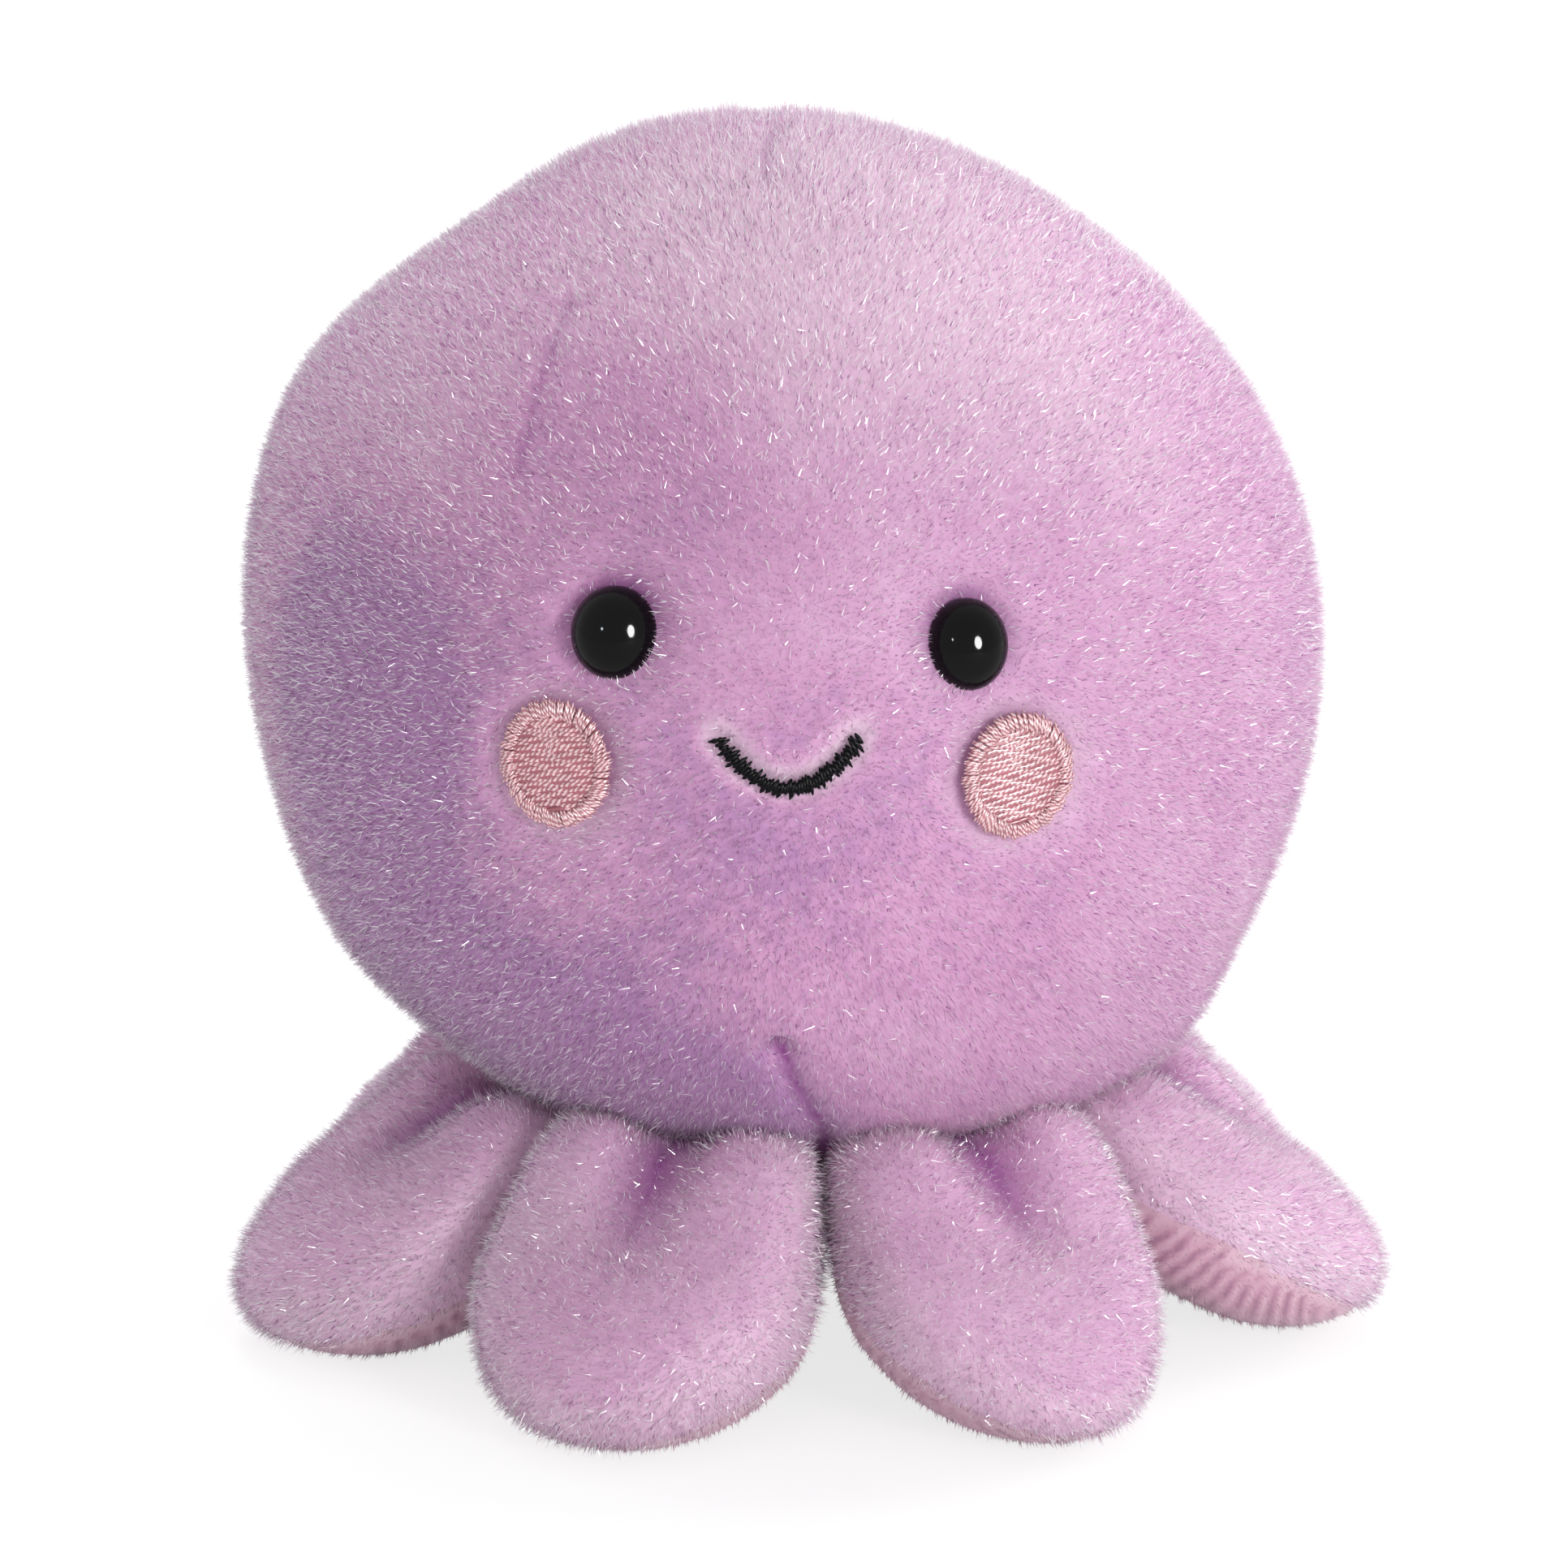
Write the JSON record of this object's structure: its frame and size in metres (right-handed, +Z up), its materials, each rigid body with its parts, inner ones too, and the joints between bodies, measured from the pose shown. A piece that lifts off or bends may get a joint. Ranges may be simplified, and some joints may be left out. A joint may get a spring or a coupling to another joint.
{
  "type": "plush octopus",
  "caption": "Palm-sized plush octopus with a round head, domed eyes, embroidered cheeks and smile, and short stuffed tentacles that lift at the neck seam.",
  "frame": {"origin": "on the standing plane, under the middle of the neck seam, which is also the middle of the bounding box", "axes": "+Z up; the face looks along -Y, and +X is to the right of someone facing the toy"},
  "size_m": [0.1116, 0.1069, 0.1166],
  "materials": {
    "lilac_plush": "long-pile plush",
    "pink_plush": "short ribbed plush",
    "stuffing": "loose fibre",
    "bag_cloth": "plain weave",
    "eye_plastic": "gloss",
    "washer_plastic": "matte",
    "cheek_thread": "satin stitch",
    "black_thread": "satin stitch"
  },
  "bodies": {
    "root": {"head_front_panel": "lilac_plush", "head_back_left_panel": "lilac_plush", "head_back_right_panel": "lilac_plush", "head_filling": "stuffing", "pellet_bag": "bag_cloth", "base_panel": "pink_plush", "eye_left": "eye_plastic", "eye_right": "eye_plastic", "eye_washer_left": "washer_plastic", "eye_washer_right": "washer_plastic", "cheek_left": "cheek_thread", "cheek_right": "cheek_thread", "mouth_embroidery": "black_thread"},
    "tentacle_1": {"tentacle_top_1": "lilac_plush", "tentacle_underside_1": "pink_plush", "tentacle_filling_1": "stuffing"},
    "tentacle_2": {"tentacle_top_2": "lilac_plush", "tentacle_underside_2": "pink_plush", "tentacle_filling_2": "stuffing"},
    "tentacle_3": {"tentacle_top_3": "lilac_plush", "tentacle_underside_3": "pink_plush", "tentacle_filling_3": "stuffing"},
    "tentacle_4": {"tentacle_top_4": "lilac_plush", "tentacle_underside_4": "pink_plush", "tentacle_filling_4": "stuffing"},
    "tentacle_5": {"tentacle_top_5": "lilac_plush", "tentacle_underside_5": "pink_plush", "tentacle_filling_5": "stuffing"},
    "tentacle_6": {"tentacle_top_6": "lilac_plush", "tentacle_underside_6": "pink_plush", "tentacle_filling_6": "stuffing"},
    "tentacle_7": {"tentacle_top_7": "lilac_plush", "tentacle_underside_7": "pink_plush", "tentacle_filling_7": "stuffing"},
    "tentacle_8": {"tentacle_top_8": "lilac_plush", "tentacle_underside_8": "pink_plush", "tentacle_filling_8": "stuffing"}
  },
  "joints": [
    {"name": "tentacle_1_lift", "type": "hinge", "parent": "root", "child": "tentacle_1", "pos_m": [-0.01207, -0.02844, 0.0239], "axis": [-0.9205, 0.3907, 0], "range_deg": [-4, 40], "stiffness_Nm_per_rad": 0.03},
    {"name": "tentacle_2_lift", "type": "hinge", "parent": "root", "child": "tentacle_2", "pos_m": [0.01379, -0.02765, 0.0239], "axis": [-0.8949, -0.4462, 0], "range_deg": [-4, 40], "stiffness_Nm_per_rad": 0.03},
    {"name": "tentacle_3_lift", "type": "hinge", "parent": "root", "child": "tentacle_3", "pos_m": [0.02985, -0.008, 0.0239], "axis": [-0.2588, -0.9659, 0], "range_deg": [-4, 40], "stiffness_Nm_per_rad": 0.03},
    {"name": "tentacle_4_lift", "type": "hinge", "parent": "root", "child": "tentacle_4", "pos_m": [0.02741, 0.01427, 0.0239], "axis": [0.4617, -0.887, 0], "range_deg": [-4, 40], "stiffness_Nm_per_rad": 0.03},
    {"name": "tentacle_5_lift", "type": "hinge", "parent": "root", "child": "tentacle_5", "pos_m": [0.01082, 0.02894, 0.0239], "axis": [0.9367, -0.3502, 0], "range_deg": [-4, 40], "stiffness_Nm_per_rad": 0.03},
    {"name": "tentacle_6_lift", "type": "hinge", "parent": "root", "child": "tentacle_6", "pos_m": [-0.01132, 0.02875, 0.0239], "axis": [0.9304, 0.3665, 0], "range_deg": [-4, 40], "stiffness_Nm_per_rad": 0.03},
    {"name": "tentacle_7_lift", "type": "hinge", "parent": "root", "child": "tentacle_7", "pos_m": [-0.02765, 0.01379, 0.0239], "axis": [0.4462, 0.8949, 0], "range_deg": [-4, 40], "stiffness_Nm_per_rad": 0.03},
    {"name": "tentacle_8_lift", "type": "hinge", "parent": "root", "child": "tentacle_8", "pos_m": [-0.02894, -0.01082, 0.0239], "axis": [-0.3502, 0.9367, 0], "range_deg": [-4, 40], "stiffness_Nm_per_rad": 0.03}
  ]
}
